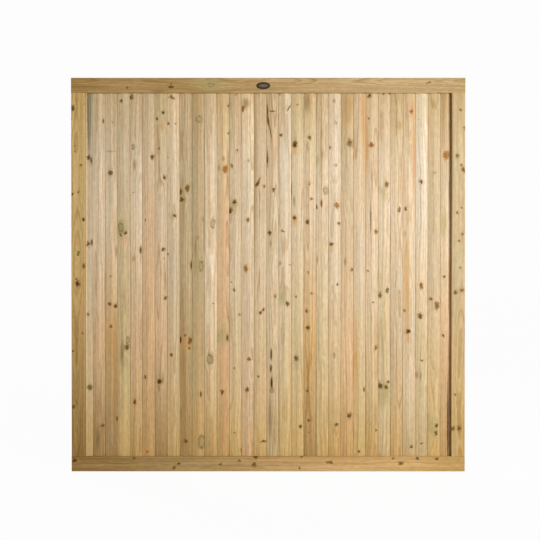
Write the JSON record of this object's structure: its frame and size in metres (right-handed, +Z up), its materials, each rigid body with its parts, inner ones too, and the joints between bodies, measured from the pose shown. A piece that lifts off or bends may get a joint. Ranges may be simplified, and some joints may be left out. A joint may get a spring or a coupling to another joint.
{
  "type": "acoustic fence panel",
  "caption": "Square timber fence panel of ridged vertical tongue-and-groove boards in a grooved frame, with a small plain oval badge on the top rail.",
  "frame": {"origin": "on the underside of the bottom rail, at mid width and mid depth of the frame", "axes": "+X along the fence towards the right stile, +Y through the panel away from the badge, +Z up"},
  "size_m": [1.83, 0.0484, 1.83],
  "materials": {
    "pressure_treated_pine": "planed, matt",
    "dark_enamel": "satin",
    "zinc_plated_steel": "dull"
  },
  "bodies": {
    "root": {"badge": "dark_enamel", "badge_pins": "dark_enamel", "board_01": "pressure_treated_pine", "board_02": "pressure_treated_pine", "board_03": "pressure_treated_pine", "board_04": "pressure_treated_pine", "board_05": "pressure_treated_pine", "board_06": "pressure_treated_pine", "board_07": "pressure_treated_pine", "board_08": "pressure_treated_pine", "board_09": "pressure_treated_pine", "board_10": "pressure_treated_pine", "board_11": "pressure_treated_pine", "board_12": "pressure_treated_pine", "board_13": "pressure_treated_pine", "board_14": "pressure_treated_pine", "board_15": "pressure_treated_pine", "board_16": "pressure_treated_pine", "board_17": "pressure_treated_pine", "board_18": "pressure_treated_pine", "board_19": "pressure_treated_pine", "board_20": "pressure_treated_pine", "board_21": "pressure_treated_pine", "board_22": "pressure_treated_pine", "board_23": "pressure_treated_pine", "board_24": "pressure_treated_pine", "board_25": "pressure_treated_pine", "board_26": "pressure_treated_pine", "board_27": "pressure_treated_pine", "board_28": "pressure_treated_pine", "board_29": "pressure_treated_pine", "board_30": "pressure_treated_pine", "bottom_rail": "pressure_treated_pine", "corner_screws": "zinc_plated_steel", "left_stile": "pressure_treated_pine", "right_stile": "pressure_treated_pine", "top_rail": "pressure_treated_pine"}
  },
  "joints": []
}
